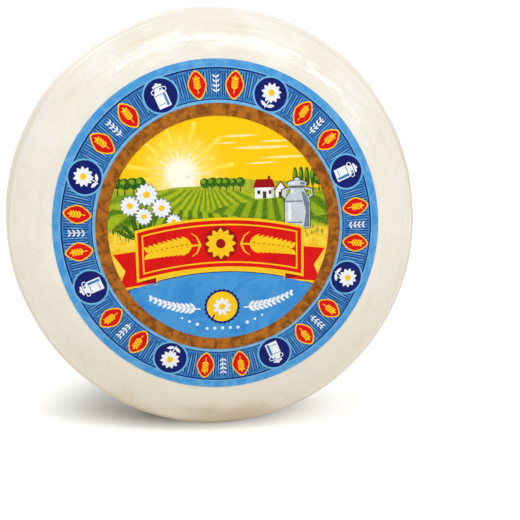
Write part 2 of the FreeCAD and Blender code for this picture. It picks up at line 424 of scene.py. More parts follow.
@dataclass(frozen=True)
class CoatingFinish:
    """The off-white plastic coating that a fresh wheel is painted with."""

    name: str = "ivory_coating"
    base: Tone = (238, 231, 216)
    # Its pale clouds, which are put mostly high up as painted light from above.
    pale: Tone = (244, 240, 231)
    # The tone of its smears, and also of the painted shade low on the wheel.
    warm_and_low_shade: Tone = (228, 215, 189)
    band: Tone = (223, 211, 187)         # painted shade round the side, between the mould's lines
    side_top_painted_light: Tone = (238, 232, 219)        # and the side's painted light towards the top
    seam: Tone = (196, 184, 160)         # painted shade in patches in the mould's line
    foot: Tone = (176, 150, 106)         # painted shade at the foot, and the dirt in the scratches
    gloss: Span = (0.44, 0.06)           # roughness of its dullest and glossiest streaks
    dull: float = 0.45                   # and round the side, where it is rubbed
    shine: float = 0.75                  # how strongly it reflects
    depth: float = 0.8 * MM              # of the relief
    ridges: Streaks = Streaks(4.2, 430.0, 0.0)
    hairs: Streaks = Streaks(11.0, 1400.0, 7.0)
    sheen: Streaks = Streaks(6.5, 400.0, 3.0)
    smears: Streaks = Streaks(2.6, 150.0, 5.0)
    scratch: Triple = (1 * MM, 20 * MM, 22 * MM)   # its width, and its reach in and along
    scratch_dirt: float = 0.12                     # how far dirt darkens it
    # How far each set of scratches is turned, in radians, and which part of the noise it reads.
    scratch_ways: tuple[Span, ...] = ((0.5, 0.0), (-0.9, 0.4), (1.9, 0.9))

    def mix(self, effects: Effects, middle: Vector, crease: float,
            foot: float) -> bpy.types.Material:
        """Mixes the material.

        Args:
            effects: The shared node groups.
            middle: The middle of the wheel.
            crease: How far the mould's lines are from the middle, along the axis.
            foot: How far the foot is below the middle.

        Returns:
            The material.
        """
        paint = Paint(self.name)
        place = paint.centred(middle)
        ridges, hairs, sheen, smears = (
            streaks.read(paint, effects, place)
            for streaks in (self.ridges, self.hairs, self.sheen, self.smears))
        clouds = paint.grain(place, 23.0, detail=3.0, roughness=0.55)
        dents = paint.grain(place, 85.0, detail=2.0, roughness=0.5)
        pores = paint.grain(place, 1300.0, detail=2.0, roughness=0.6)
        scratches = self.scratch_marks(paint, place)
        _, along, up = paint.split(place)
        ragged = paint.sum("ADD", along, paint.step(smears, 0.3, 0.7, (-1 * MM, 1 * MM)))
        side = paint.sum("ABSOLUTE", ragged)

        # Painted light high up, and painted shade round the side, in the seam and at the foot,
        # come in these three steps.
        colour = self.body_colour(paint, clouds, smears, up)
        colour = self.side_colour(paint, colour, side, up, crease,
                                  paint.grain(place, 7.0, detail=1.0))
        colour = self.foot_colour(paint, colour, clouds, up, foot)
        colour = paint.blend(paint.sum("MULTIPLY", scratches, self.scratch_dirt), colour,
                             linear(self.foot))
        height = 0.0
        for part, share in ((ridges, 0.24), (hairs, 0.02), (pores, 0.008), (dents, 0.6),
                            (scratches, -0.04)):
            height = paint.sum("MULTIPLY_ADD", part, share, height)
        glossy = paint.step(sheen, 0.44, 0.48, self.gloss)
        rubbed = paint.step(side, crease + 5 * MM, crease - MM, (0.0, self.dull))
        paint.set(Base_Color=colour, Roughness=paint.sum("MAXIMUM", glossy, rubbed),
                  Specular_IOR_Level=self.shine)
        paint.relief(height, self.depth)
        return paint.material

    def scratch_marks(self, paint: Paint,
                      place: bpy.types.NodeSocket) -> bpy.types.NodeSocket:
        """Marks the fine straight scratches.

        Args:
            paint: The material.
            place: Where the surface is, counted from the middle of the wheel.

        Returns:
            1 in a scratch and 0 beside it.
        """
        scratches = 0.0
        for turn, shift in self.scratch_ways:
            lines = paint.add("ShaderNodeMapping",
                              {"Vector": place, "Location": (shift, shift, shift),
                               "Rotation": (0.0, turn, 0.0), "Scale": self.scratch},
                              vector_type="TEXTURE").outputs[0]
            marks = paint.step(paint.grain(lines, 1.0, detail=1.0, roughness=0.4), 0.70, 0.76)
            scratches = paint.sum("MAXIMUM", scratches, marks)
        return scratches

    def body_colour(self, paint: Paint, clouds: bpy.types.NodeSocket,
                    smears: bpy.types.NodeSocket,
                    up: bpy.types.NodeSocket) -> bpy.types.NodeSocket:
        """Mixes the coating's colour: cloudy, with smears of the warmer tone; the pale clouds
        are kept mostly high up, as painted light from above.

        Args:
            paint: The material.
            clouds: The broad soft noise.
            smears: The long streaks.
            up: The height above the middle of the wheel.

        Returns:
            The colour.
        """
        # Painted light: the pale clouds show mostly high up, where light from above falls.
        high = paint.step(up, -20 * MM, 90 * MM)
        pale = paint.sum("MULTIPLY", paint.step(clouds, 0.42, 0.66),
                         paint.sum("MULTIPLY_ADD", high, 0.8, 0.2))
        colour = paint.blend(pale, linear(self.base), linear(self.pale))
        return paint.blend(paint.step(smears, 0.5, 0.74, (0.0, 0.5)), colour, linear(self.warm_and_low_shade))

    def side_colour(self, paint: Paint, colour: bpy.types.NodeSocket,
                    side: bpy.types.NodeSocket, up: bpy.types.NodeSocket, crease: float,
                    seam_shade_patches: bpy.types.NodeSocket) -> bpy.types.NodeSocket:
        """Mixes in painted shade round the side between the mould's lines, lighter towards the
        top as painted light, and painted shade in patches along the lines themselves.

        Args:
            paint: The material.
            colour: The colour so far.
            side: The distance from the middle of the side, along the axis.
            up: The height above the middle of the wheel.
            crease: How far the mould's lines are from the middle, along the axis.
            seam_shade_patches: The noise that says where the lines get their painted shade.

        Returns:
            The colour.
        """
        # Painted shade round the side, lighter towards the top, where light from above falls.
        rim = paint.blend(paint.step(up, 30 * MM, 110 * MM), linear(self.band),
                          linear(self.side_top_painted_light))
        colour = paint.blend(paint.step(side, crease + 0.6 * MM, crease - 1.4 * MM, (0.0, 0.8)),
                             colour, rim)
        # Painted shade in patches along the groove of the mould's line.
        near_seam = paint.sum("ABSOLUTE", paint.sum("SUBTRACT", side, crease - 0.2 * MM))
        shown = paint.sum("MULTIPLY", paint.step(seam_shade_patches, 0.42, 0.58, (0.0, 0.42)),
                          paint.step(near_seam, 1.3 * MM, 0.2 * MM))
        return paint.blend(shown, colour, linear(self.seam))

    def foot_colour(self, paint: Paint, colour: bpy.types.NodeSocket,
                    clouds: bpy.types.NodeSocket, up: bpy.types.NodeSocket,
                    foot: float) -> bpy.types.NodeSocket:
        """Mixes in painted shade that grows darker and browner towards the foot, with the
        warmer tone above it.

        Args:
            paint: The material.
            colour: The colour so far.
            clouds: The broad soft noise.
            up: The height above the middle of the wheel.
            foot: How far the foot is below the middle.

        Returns:
            The colour.
        """
        # Painted shade: darker and browner towards the foot, with a warmer tone above it.
        low = paint.sum("ADD", up, paint.step(clouds, 0.3, 0.7, (-9 * MM, 9 * MM)))
        colour = paint.blend(paint.step(low, 27 * MM - foot, -foot), colour,
                             linear(self.foot))
        return paint.blend(paint.step(low, 10 * MM, -foot, (0.0, 0.45)), colour,
                           linear(self.warm_and_low_shade))


@dataclass(frozen=True)
class InkFinish:
    """One printing ink on the label's paper, broken up by a second tone."""

    name: str
    tone: Tone
    second: Tone
    blotch: float = 8.0      # size of the soft blotches, in millimetres
    grain: float = 0.7       # size of the fine grain, in millimetres
    amount: float = 0.6      # how far the blotches go towards the second tone
    broad: bool = False      # whether it covers enough paper to show the cockles

    def mix(self, effects: Effects, origin: Vector) -> bpy.types.Material:
        """Mixes the ink's material.

        Args:
            effects: The shared node groups.
            origin: The middle of the label.

        Returns:
            The material.
        """
        paint = Paint(self.name)
        ink = paint.use(effects.mottling, Vector=paint.centred(origin),
                        Colour=linear(self.tone), Second=linear(self.second),
                        Blotches=1 / (self.blotch * MM), Grain=1 / (self.grain * MM),
                        Amount=self.amount)
        if self.broad:
            varnish_paint(paint, effects, ink.outputs["Colour"])
        else:
            paint.set(Base_Color=ink.outputs["Colour"], Roughness=VARNISH,
                      Specular_IOR_Level=VARNISH_SHINE)
        return paint.material


@dataclass(frozen=True)
class FieldFinish:
    """The inks of a striped field, whose rows run together at a far point."""

    name: str
    light: Tone
    dark: Tone
    rows: float
    far_point: Place         # in the label's own millimetres

    def mix(self, effects: Effects, origin: Vector) -> bpy.types.Material:
        """Mixes the field's material around its far point.

        Args:
            effects: The shared node groups.
            origin: The middle of the label.

        Returns:
            The material.
        """
        paint = Paint(self.name)
        spot = origin + Vector((self.far_point[0], 0.0, self.far_point[1])) * MM
        rows = paint.use(effects.crop_rows, Vector=paint.centred(spot), Rows=self.rows,
                         Light=linear(self.light), Dark=linear(self.dark))
        varnish_paint(paint, effects, rows.outputs["Colour"])
        return paint.material


@dataclass(frozen=True)
class SkyFinish:
    """The inks of the sky, which pales towards the sun."""

    name: str = "sky_inks"
    glow: Tone = (255, 247, 214)
    light: Tone = (255, 226, 92)
    deep: Tone = (254, 203, 0)
    sun: Place = (-21.0, 31.0)           # in the label's own millimetres
    glow_reach: Span = (4.0, 17.0)       # where the glow fades, in millimetres from the sun
    light_reach: Span = (9.0, 27.0)      # and where the light tone turns to the deep one
    ragged: float = 2.5                  # how far these edges wander, in millimetres

    def mix(self, effects: Effects, origin: Vector) -> bpy.types.Material:
        """Mixes the sky's material around the sun.

        Args:
            effects: The shared node groups.
            origin: The middle of the label.

        Returns:
            The material.
        """
        paint = Paint(self.name)
        spot = origin + Vector((self.sun[0], 0.0, self.sun[1])) * MM
        place = paint.centred(spot)
        x, _, z = paint.split(place)
        flat = paint.add("ShaderNodeCombineXYZ", {0: x, 2: z}).outputs[0]
        away = paint.add("ShaderNodeVectorMath", {0: flat}, operation="LENGTH").outputs["Value"]
        wander = paint.step(paint.grain(place, 420.0, detail=4.0, roughness=0.7), 0.3, 0.7,
                            (-self.ragged * MM, self.ragged * MM))
        away = paint.sum("ADD", away, wander)
        (glow, sky), (light, deep) = ([end * MM for end in reach]
                                      for reach in (self.glow_reach, self.light_reach))
        colour = paint.blend(paint.step(away, light, deep), linear(self.light),
                             linear(self.deep))
        colour = paint.blend(paint.step(away, glow, sky), linear(self.glow), colour)
        varnish_paint(paint, effects, colour)
        return paint.material


def varnish_paint(paint: Paint, effects: Effects, colour: bpy.types.NodeSocket) -> None:
    """Gives a printed paper its colour, uneven varnish and faint cockles.

    Args:
        paint: The material.
        effects: The shared node groups.
        colour: The printed colour.
    """
    paper = paint.use(effects.paper, Vector=paint.place, Gloss=VARNISH)
    paint.set(Base_Color=colour, Roughness=paper.outputs["Roughness"],
              Specular_IOR_Level=VARNISH_SHINE)
    paint.relief(paper.outputs["Height"], depth=0.6 * MM, strength=0.35)


class Ink(Enum):
    """The label's inks. The fields and the sky are printed in several tones at once."""

    BAND = InkFinish("blue_band_ink", (66, 150, 214), (110, 176, 224), 7.0, 1.2, 0.75, True)
    PANEL = InkFinish("blue_panel_ink", (72, 154, 216), (46, 134, 208), 12.0, 1.2, 0.8, True)
    HATCH_BED = InkFinish("hatch_bed_ink", (64, 138, 200), (36, 106, 178), 9.0, 1.0, 0.8, True)
    HATCH = InkFinish("hatch_line_ink", (20, 56, 120), (12, 36, 94), 3.0, 0.6)
    HATCH_PALE = InkFinish("hatch_pale_ink", (140, 192, 232), (96, 160, 216), 3.0, 0.6)
    NAVY = InkFinish("navy_ink", (4, 22, 108), (0, 12, 84), 5.0, 0.8)
    RIM = InkFinish("pale_rim_ink", (118, 186, 228), (92, 164, 216), 5.0, 0.8)
    WHITE = InkFinish("white_ink", (244, 246, 248), (226, 234, 242), 4.0, 0.6)
    RED = InkFinish("red_ink", (226, 8, 4), (200, 0, 0), 9.0, 0.9, 0.6, True)
    DEEP_RED = InkFinish("deep_red_ink", (160, 4, 4), (128, 0, 0), 6.0, 0.9)
    YELLOW = InkFinish("yellow_ink", (254, 206, 24), (246, 190, 10), 8.0, 0.8)
    WHEAT = InkFinish("wheat_ink", (252, 216, 66), (236, 186, 28), 5.0, 0.7, 0.9, True)
    RUST = InkFinish("brown_ring_ink", (180, 108, 26), (122, 66, 12), 4.5, 0.7, 1.0, True)
    CREAM = InkFinish("cream_ink", (255, 240, 176), (255, 228, 120), 4.0, 0.5)
    RAY = InkFinish("sun_ray_ink", (255, 228, 84), (255, 218, 50), 4.0, 0.5)
    SUN = InkFinish("sun_ink", (255, 252, 236), (255, 246, 206), 3.0, 0.5)
    HAZE = InkFinish("far_hill_ink", (178, 186, 44), (132, 158, 24), 3.5, 0.5, 0.8)
    LEAF = InkFinish("leaf_ink", (58, 112, 16), (22, 66, 8), 1.6, 0.4, 0.9)
    LEAF_LIT = InkFinish("lit_leaf_ink", (136, 168, 26), (84, 134, 18), 1.4, 0.4, 0.8)
    BARK = InkFinish("bark_ink", (84, 56, 24), (52, 34, 16), 1.5, 0.4)
    STEEL = InkFinish("churn_ink", (206, 214, 220), (178, 190, 200), 4.0, 0.6)
    STEEL_SHADE = InkFinish("churn_shade_ink", (118, 132, 146), (86, 100, 116), 4.0, 0.6)
    GROUND = InkFinish("meadow_edge_ink", (96, 138, 10), (52, 96, 8), 2.0, 0.4, 0.9)
    SKY = SkyFinish()
    FAR_FIELD = FieldFinish("far_field_inks", (176, 190, 30), (98, 138, 12), 34.0,
                            (-8.0, 30.0))
    MID_FIELD = FieldFinish("mid_field_inks", (150, 178, 22), (64, 108, 8), 26.0,
                            (26.0, 38.0))
    NEAR_FIELD = FieldFinish("near_field_inks", (166, 190, 26), (54, 100, 8), 30.0,
                             (-16.0, 34.0))


@dataclass(frozen=True)
class FloorFinish:
    """The pale studio floor: the camera sees a glow that adds white away from the wheel's foot,
    so its lit part shows as plain white and a painted shade stays round the foot, over the
    shadows it keeps.
    """

    name: str = "pale_floor"
    tone: Tone = (250, 250, 249)
    second: Tone = (244, 244, 243)       # of its faint clouds
    shown: Tone = (204, 203, 201)        # what the camera sees of it before the glow, darker than the tone that carries its light, which deepens the shadows it shows
    roughness: float = 0.9
    shine: float = 0.1                   # how strongly it reflects
    foot: Triple = (-0.022, 0.02, 0.0)   # the middle of the painted shade, where the glow is left out
    ahead: float = -2.2                  # how much sooner the painted shade ends in front of the wheel
    # Two steps of the glow that only the camera sees, which paints shade round the foot by
    # leaving it out there: where each begins and ends, and how much it adds.
    lifts: tuple[Triple, Triple] = ((0.036, 0.112, 0.55), (0.35, 1.0, 0.3))

    def mix(self) -> bpy.types.Material:
        """Mixes the material.

        Returns:
            The material.
        """
        paint = Paint(self.name)
        clouds = paint.step(paint.grain(paint.place, 40.0, detail=2.0), 0.3, 0.7, (0.0, 0.3))
        colour = paint.blend(clouds, linear(self.tone), linear(self.second))
        seen = paint.seen()
        colour = paint.blend(seen, colour, linear(self.shown))
        x, y, _ = paint.split(paint.centred(Vector(self.foot)))
        depth = paint.sum("MAXIMUM", y, paint.sum("MULTIPLY", y, self.ahead))
        away = paint.sum("SQRT", paint.sum("MULTIPLY_ADD", depth, depth,
                                           paint.sum("MULTIPLY", x, x)))
        # The glow grows with distance from the foot, which leaves a painted shade round it.
        near, far = (paint.step(away, start, end, (0.0, most))
                     for start, end, most in self.lifts)
        lift = paint.sum("ADD", near, far)
        paint.set(Base_Color=colour, Roughness=self.roughness, Specular_IOR_Level=self.shine,
                  Emission_Color=WHITE_LIGHT,
                  Emission_Strength=paint.sum("MULTIPLY", seen, lift))
        return paint.material


# --------------------------------------------------------------------------------------
# The wheel of cheese
# --------------------------------------------------------------------------------------

@dataclass
class CheeseWheel:
    """The wheel: a turned body that has settled on its foot and is a little uneven."""

    finish: CoatingFinish = CoatingFinish()
    face_crown: float = 8.8 * MM               # how far a face bulges
    shoulder_width: float = 33.5 * MM          # from the face's edge out to the rim
    shoulder_depth: float = 25.0 * MM          # from the face's middle back to the mould's line
    band_bulge: float = 6.2 * MM               # how far the side bulges between the lines
    around: int = 600                          # parts in a full turn
    face_steps: int = 10
    shoulder_steps: int = 32
    band_steps: int = 32
    narrowing: float = 0.022                   # how much narrower than tall the rim settled
    narrow_from: float = 94.5 * MM             # how far from the axis that begins
    front_free: Span = (95.5 * MM, 108 * MM)   # where the front grows uneven, past the label
    back_free: Span = (0.0, 60 * MM)           # and where the back does
    line_free: Span = (108 * MM, 116 * MM)     # and where the mould's lines come in
    swell: float = 0.62                        # height of the swellings, in millimetres
    fold: float = 0.18                         # of the folds that run round
    ridge: float = 0.05                        # and of the finer ridges
    # How many swellings fit a metre and how strong they are, the broad ones and the small.
    swells: tuple[Span, Span] = ((11.0, 1.3), (27.0, 0.5))
    # How long and how fine the grain of the folds is, and that of the ridges.
    folds: tuple[Span, Span] = ((2.4, 105.0), (6.0, 240.0))
    line_depth: Span = (0.7, 0.35)             # of the mould's lines, and how far it varies
    line_width: float = 1.5 * MM
    lip: float = 0.25                          # height of the lip beside each line
    lip_from_line: float = 3.2 * MM
    lip_width: float = 2.0 * MM
    tread: float = 1.2 * MM                    # between the flat foot's edge and its inner ring
    low: Vector = field(init=False)
    high: Vector = field(init=False)

    def __post_init__(self) -> None:
        """Reads the wheel's place from the frame."""
        self.low, self.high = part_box("cheese")

    @property
    def radius(self) -> float:
        """The rim's radius."""
        return (self.high.x - self.low.x) / 2

    @property
    def middle(self) -> Vector:
        """The middle of the wheel."""
        return Vector(((self.low.x + self.high.x) / 2, (self.low.y + self.high.y) / 2,
                       self.high.z - self.radius))

    @property
    def crease(self) -> float:
        """How far the mould's lines are from the middle, along the axis."""
        return self.middle.y - self.low.y - self.shoulder_depth

    def section(self) -> Outline:
        """Works out the half section from the front's middle to the back's middle.

        Returns:
            Points as (distance from the axis, distance along it from the wheel's middle).
        """
        front = self.low.y - self.middle.y
        face_reach = self.radius - self.shoulder_width
        face_edge = front + self.face_crown
        crown = (face_reach ** 2 + self.face_crown ** 2) / (2 * self.face_crown)
        crown_middle = front + crown
        reach = self.radius - self.band_bulge
        corner = Vector((reach, front + self.shoulder_depth))
        edge = Vector((face_reach, face_edge))
        inward = (Vector((0.0, crown_middle)) - edge).normalized()
        chord = corner - edge
        bend = chord.length_squared / (2 * chord.dot(inward))
        bend_middle = edge + inward * bend
        band = (corner.y ** 2 + self.band_bulge ** 2) / (2 * self.band_bulge)
        band_middle = self.radius - band

        half: Outline = []
        open_angle = math.asin(face_reach / crown)
        for i in range(self.face_steps):
            angle = open_angle * i / self.face_steps
            half.append((crown * math.sin(angle), crown_middle - crown * math.cos(angle)))
        start, end = (math.atan2(p.x - bend_middle.x, bend_middle.y - p.y)
                      for p in (edge, corner))
        for i in range(self.shoulder_steps):
            angle = start + (end - start) * i / self.shoulder_steps
            half.append((bend_middle.x + bend * math.sin(angle),
                         bend_middle.y - bend * math.cos(angle)))
        wide = math.asin(-corner.y / band)
        for i in range(self.band_steps // 2):
            angle = wide * (1 - 2 * i / self.band_steps)
            half.append((band_middle + band * math.cos(angle), -band * math.sin(angle)))
        return half + [(self.radius, 0.0)] + [(reach, -along) for reach, along in half[::-1]]

    def turn(self) -> bpy.types.Object:
        """Draws the section point by point and spins it once round the wheel's axis.

        Returns:
            The turned body.
        """
        start_clean()
        points = [self.middle + Vector((reach, along, 0.0)) for reach, along in self.section()]
        bpy.ops.mesh.primitive_plane_add(size=MM, location=points[0])
        wheel = bpy.context.object
        wheel.name = wheel.data.name = "cheese_wheel"
        bpy.ops.object.mode_set(mode="EDIT")
        bpy.ops.mesh.merge(type="CENTER")
        for here, there in zip(points, points[1:]):
            bpy.ops.mesh.extrude_vertices_move(TRANSFORM_OT_translate={"value": there - here})
        bpy.ops.mesh.select_all(action="SELECT")
        bpy.ops.mesh.spin(steps=self.around, angle=2 * math.pi, center=self.middle,
                          axis=(0.0, 1.0, 0.0))
        bpy.ops.mesh.select_all(action="SELECT")
        bpy.ops.mesh.remove_doubles(threshold=0.02 * MM)
        bpy.ops.mesh.normals_make_consistent(inside=False)
        bpy.ops.object.mode_set(mode="OBJECT")
        bpy.ops.object.transform_apply(location=True, rotation=True, scale=True)
        return wheel

    def unevenness(self, place: Vector, reach: float) -> float:
        """Works out how far the surface stands out at a point.

        Args:
            place: The point, counted from the wheel's middle.
            reach: The point's distance from the wheel's axis.

        Returns:
            The distance outwards, in metres. It is 0 under the label.
        """
        free = ease(*(self.front_free if place.y < 0 else self.back_free), reach)
        round_place = Vector((place.x, 0.0, place.z)) / max(reach, MM)
        (broad, strong), (small, weak) = self.swells
        swell = (noise.noise(place * broad) * strong
                 + noise.noise(place * small + Vector((5, 1, 3))) * weak)
        fold, ridge = (
            noise.noise(Vector((round_place.x * long, reach * fine + place.y * fine * 0.6,
                                round_place.z * long)))
            for long, fine in self.folds)
        from_line = abs(place.y) - self.crease
        line = math.exp(-(from_line / self.line_width) ** 2)
        lip = math.exp(-((from_line - self.lip_from_line) / self.lip_width) ** 2)
        usual, change = self.line_depth
        depth = usual + change * noise.noise(round_place * 2.2)
        return MM * (free * (swell * self.swell + fold * self.fold + ridge * self.ridge)
                     - (line * depth - lip * self.lip) * ease(*self.line_free, reach))

    def settle(self, wheel: bpy.types.Object) -> None:
        """Makes the turned body uneven and a little narrow, and flattens its foot.

        Args:
            wheel: The turned body.
        """
        mesh = wheel.data
        normals = [vertex.normal.copy() for vertex in mesh.vertices]
        for vertex, normal in zip(mesh.vertices, normals):
            place = vertex.co - self.middle
            reach = math.hypot(place.x, place.z)
            vertex.co += normal * self.unevenness(place, reach)
            vertex.co.x -= place.x * self.narrowing * ease(self.narrow_from, self.radius, reach)
        start_clean()
        wheel.select_set(True)
        bpy.context.view_layer.objects.active = wheel
        bpy.ops.object.mode_set(mode="EDIT")
        bpy.ops.mesh.select_all(action="SELECT")
        bpy.ops.mesh.bisect(plane_co=(0.0, 0.0, self.low.z), plane_no=(0.0, 0.0, 1.0),
                            use_fill=True, clear_inner=True, threshold=1e-7)
        bpy.ops.mesh.inset(thickness=self.tread)
        bpy.ops.object.mode_set(mode="OBJECT")
        bpy.ops.object.shade_smooth()

    def build(self, effects: Effects) -> None:
        """Builds the wheel and dresses it in its coating.

        Args:
            effects: The shared node groups.
        """
        wheel = self.turn()
        self.settle(wheel)
        wheel.data.materials.append(self.finish.mix(effects, self.middle, self.crease,
                                                    self.middle.z - self.low.z))
        join_frame(wheel, "cheese_coating", "cheese")


# --------------------------------------------------------------------------------------
# Outlines of the printed shapes, in millimetres
# --------------------------------------------------------------------------------------

def turned(outline: Iterable[Place], degrees: float, about: Place = (0.0, 0.0)) -> Outline:
    """Turns an outline clockwise about a point.

    Args:
        outline: The outline.
        degrees: How far it is turned.
        about: The point.

    Returns:
        The turned outline.
    """
    cos, sin = math.cos(math.radians(degrees)), math.sin(math.radians(degrees))
    return [(about[0] + (u - about[0]) * cos + (v - about[1]) * sin,
             about[1] - (u - about[0]) * sin + (v - about[1]) * cos) for u, v in outline]


def moved(outline: Iterable[Place], right: float, up: float) -> Outline:
    """Moves an outline."""
    return [(u + right, v + up) for u, v in outline]


def rectangle(left: float, low: float, right: float, high: float) -> Outline:
    """Draws a rectangle, given its four sides."""
    return [(left, low), (right, low), (right, high), (left, high)]


def oval(middle: Place, wide: float, high: float, corners: int) -> Outline:
    """Draws an oval, given its half width and half height."""
    return [(middle[0] + wide * math.cos(a), middle[1] + high * math.sin(a))
            for a in (2 * math.pi * i / corners for i in range(corners))]


def leaf(foot: Place, tip: Place, width: float, steps: int = 6) -> Outline:
    """Draws a leaf or petal, pointed at its foot and at its tip.

    Args:
        foot: One point.
        tip: The other point.
        width: The greatest width, halfway.
        steps: How many parts each side has.

    Returns:
        The outline.
    """
    along = Vector(tip) - Vector(foot)
    side = Vector((-along.y, along.x)).normalized() * width / 2
    right = [Vector(foot) + along * t + side * math.sin(math.pi * t)
             for t in (i / steps for i in range(steps + 1))]
    left = [Vector(foot) + along * t - side * math.sin(math.pi * t)
            for t in (i / steps for i in range(steps - 1, 0, -1))]
    return [(p.x, p.y) for p in right + left]


def stroke(path: Sequence[Place], width: float, end_width: float | None = None) -> Outline:
    """Draws a line along a path.

    Args:
        path: The points that the line runs through.
        width: Its width at the start.
        end_width: Its width at the end, where that differs.

    Returns:
        The outline.
    """
    end_width = width if end_width is None else end_width
    points = [Vector(p) for p in path]
    left, right = [], []
    for i, point in enumerate(points):
        ahead = points[min(i + 1, len(points) - 1)] - points[max(i - 1, 0)]
        share = i / (len(points) - 1)
        side = Vector((-ahead.y, ahead.x)).normalized() * (
            width + (end_width - width) * share) / 2
        left.append(point + side)
        right.append(point - side)
    return [(p.x, p.y) for p in left + right[::-1]]


def curve(height: Callable[[float], float], low: float, high: float, steps: int) -> Outline:
    """Samples a curve from left to right."""
    return [(u, height(u)) for u in (low + (high - low) * i / steps for i in range(steps + 1))]


def scallops(middle: Place, radius: float, depth: float, count: int) -> Outline:
    """Draws a disc with a scalloped edge.

    Args:
        middle: The disc's middle.
        radius: Its radius at the top of a scallop.
        depth: How deep the notches are.
        count: How many scallops there are.

    Returns:
        The outline.
    """
    steps = 6
    corners = count * steps
    return [(middle[0] + r * math.sin(a), middle[1] + r * math.cos(a)) for a, r in (
        (2 * math.pi * i / corners, radius - depth * (1 - abs(math.sin(math.pi * i / steps))))
        for i in range(corners))]


# --------------------------------------------------------------------------------------
# The label
# --------------------------------------------------------------------------------------

@dataclass
class Crown:
    """The crowned face that the label lies on, read from the label's place in the frame."""

    thickness: float = 0.25 * MM     # of the paper
    turn: float = -1.5               # how far the label was put on out of true, in degrees
    narrowing: float = 0.012         # how much the paper drew in across its grain
    low: Vector = field(init=False)
    high: Vector = field(init=False)

    def __post_init__(self) -> None:
        """Reads the label's place from the frame."""
        self.low, self.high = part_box("label")

    @property
    def reach(self) -> float:
        """The label's radius."""
        return (self.high.x - self.low.x) / 2

    @property
    def middle(self) -> Vector:
        """The middle of the paper's front."""
        return Vector(((self.low.x + self.high.x) / 2, self.low.y,
                       (self.low.z + self.high.z) / 2))

    @property
    def bend(self) -> float:
        """The radius of the paper's front."""
        rise = self.high.y - self.low.y - self.thickness
        return (self.reach ** 2 + rise ** 2) / (2 * rise) + self.thickness

    def front(self, place: Vector, lift: float) -> float:
        """Finds where a print that stands a little off the paper is, along Y."""
        away = (place.x - self.middle.x) ** 2 + (place.z - self.middle.z) ** 2
        return self.low.y + self.bend - math.sqrt((self.bend + lift) ** 2 - away)


@dataclass
class Stencil:
    """Shapes that are printed together, at one level above the paper."""

    level: int
    shapes: list[Outline] = field(default_factory=list)
    rings: list[tuple[float, float, Place, int]] = field(default_factory=list)
    copies: int = 1

    def cut(self, *outlines: Sequence[Place]) -> "Stencil":
        """Adds a filled shape for each outline."""
        self.shapes += [list(outline) for outline in outlines]
        return self

    def ring(self, inner: float, outer: float, middle: Place = (0.0, 0.0),
             corners: int = 180) -> "Stencil":
        """Adds a flat ring."""
        self.rings.append((inner, outer, middle, corners))
        return self

    def repeat(self) -> "Stencil":
        """Copies everything into the label's other three quarters."""
        self.copies = 4
        return self


